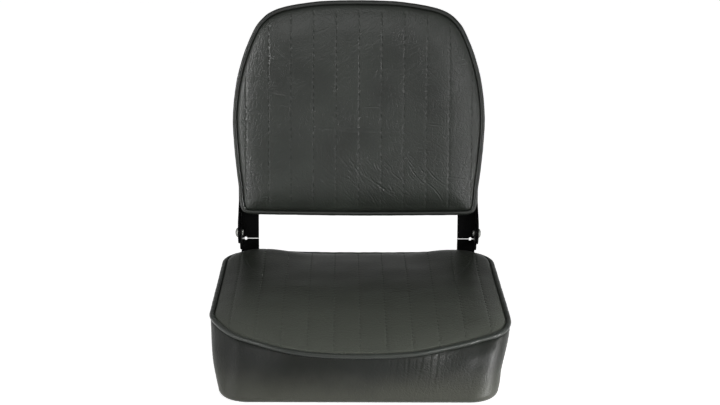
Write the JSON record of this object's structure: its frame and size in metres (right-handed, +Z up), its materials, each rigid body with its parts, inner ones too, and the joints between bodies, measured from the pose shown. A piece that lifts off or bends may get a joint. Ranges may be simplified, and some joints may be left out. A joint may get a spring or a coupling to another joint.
{
  "type": "low-back boat seat",
  "caption": "Low-back boat seat with pleated, welted vinyl cushions on a moulded pan and side hinge brackets that let the backrest fold forward onto the seat.",
  "frame": {"origin": "middle of the square fixing pattern, on the plane that the seat pan rests on", "axes": "+X to the sitter's left (the viewer's right), +Y to the rear, +Z up"},
  "size_m": [0.4316, 0.4699, 0.4873],
  "materials": {
    "vinyl_cover": "satin grained vinyl",
    "welt_vinyl": "satin vinyl piping",
    "foam": "open-cell foam",
    "moulded_plastic": "textured moulding",
    "black_paint": "powder coat",
    "steel": "zinc plated",
    "brass": "plain",
    "nylon": "natural nylon"
  },
  "bodies": {
    "seat": {"seat_pan": "moulded_plastic", "seat_foam": "foam", "seat_top_panel": "vinyl_cover", "seat_boxing": "vinyl_cover", "seat_welt": "welt_vinyl", "pan_insert_front_left": "brass", "pan_insert_front_right": "brass", "pan_insert_rear_left": "brass", "pan_insert_rear_right": "brass", "hinge_lower_left": "black_paint", "hinge_lower_right": "black_paint", "pivot_rivet_left": "steel", "pivot_rivet_right": "steel", "pivot_washer_left": "nylon", "pivot_washer_right": "nylon", "lower_bolt_left_1": "steel", "lower_bolt_left_2": "steel", "lower_bolt_right_1": "steel", "lower_bolt_right_2": "steel", "lower_tee_nut_left_1": "steel", "lower_tee_nut_left_2": "steel", "lower_tee_nut_right_1": "steel", "lower_tee_nut_right_2": "steel"},
    "backrest": {"back_board": "moulded_plastic", "back_foam": "foam", "back_front_panel": "vinyl_cover", "back_boxing": "vinyl_cover", "back_welt": "welt_vinyl", "back_rear_cover": "vinyl_cover", "hinge_upper_left": "black_paint", "hinge_upper_right": "black_paint", "upper_bolt_left_1": "steel", "upper_bolt_left_2": "steel", "upper_bolt_right_1": "steel", "upper_bolt_right_2": "steel", "upper_tee_nut_left_1": "steel", "upper_tee_nut_left_2": "steel", "upper_tee_nut_right_1": "steel", "upper_tee_nut_right_2": "steel"}
  },
  "joints": [
    {"name": "back_fold", "type": "hinge", "parent": "seat", "child": "backrest", "pos_m": [0, 0.192, 0.1207], "axis": [1, 0, 0], "range_deg": [0, 93]}
  ]
}
